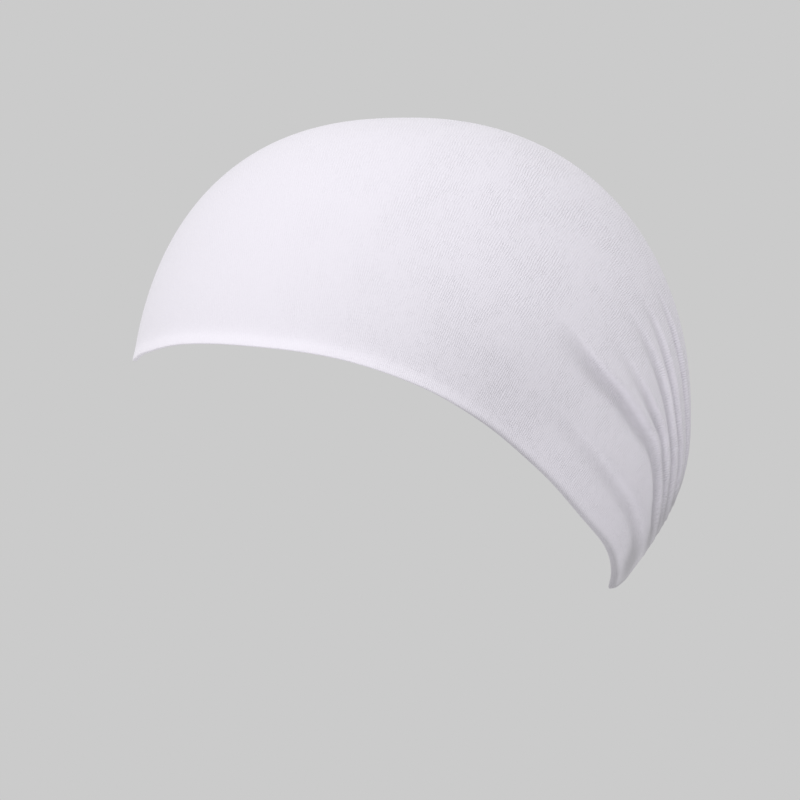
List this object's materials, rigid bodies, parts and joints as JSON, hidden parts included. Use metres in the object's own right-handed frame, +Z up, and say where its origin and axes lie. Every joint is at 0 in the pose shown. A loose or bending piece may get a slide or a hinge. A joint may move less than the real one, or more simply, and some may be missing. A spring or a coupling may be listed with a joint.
{
  "type": "hijab underscarf cap",
  "caption": "Plain white stretch jersey under-cap that covers the head from forehead to nape, with a narrow rolled hem and folds gathered at the nape.",
  "frame": {"origin": "inner top of the crown, the point that rests on top of the head", "axes": "+Z up, -Y towards the wearer's face, +X towards the wearer's left"},
  "size_m": [0.1546, 0.1877, 0.1575],
  "materials": {
    "jersey": "matt white fine-ribbed stretch jersey with a faint lavender cast"
  },
  "bodies": {
    "root": {"crown": "jersey", "face_hem": "jersey"}
  },
  "joints": []
}
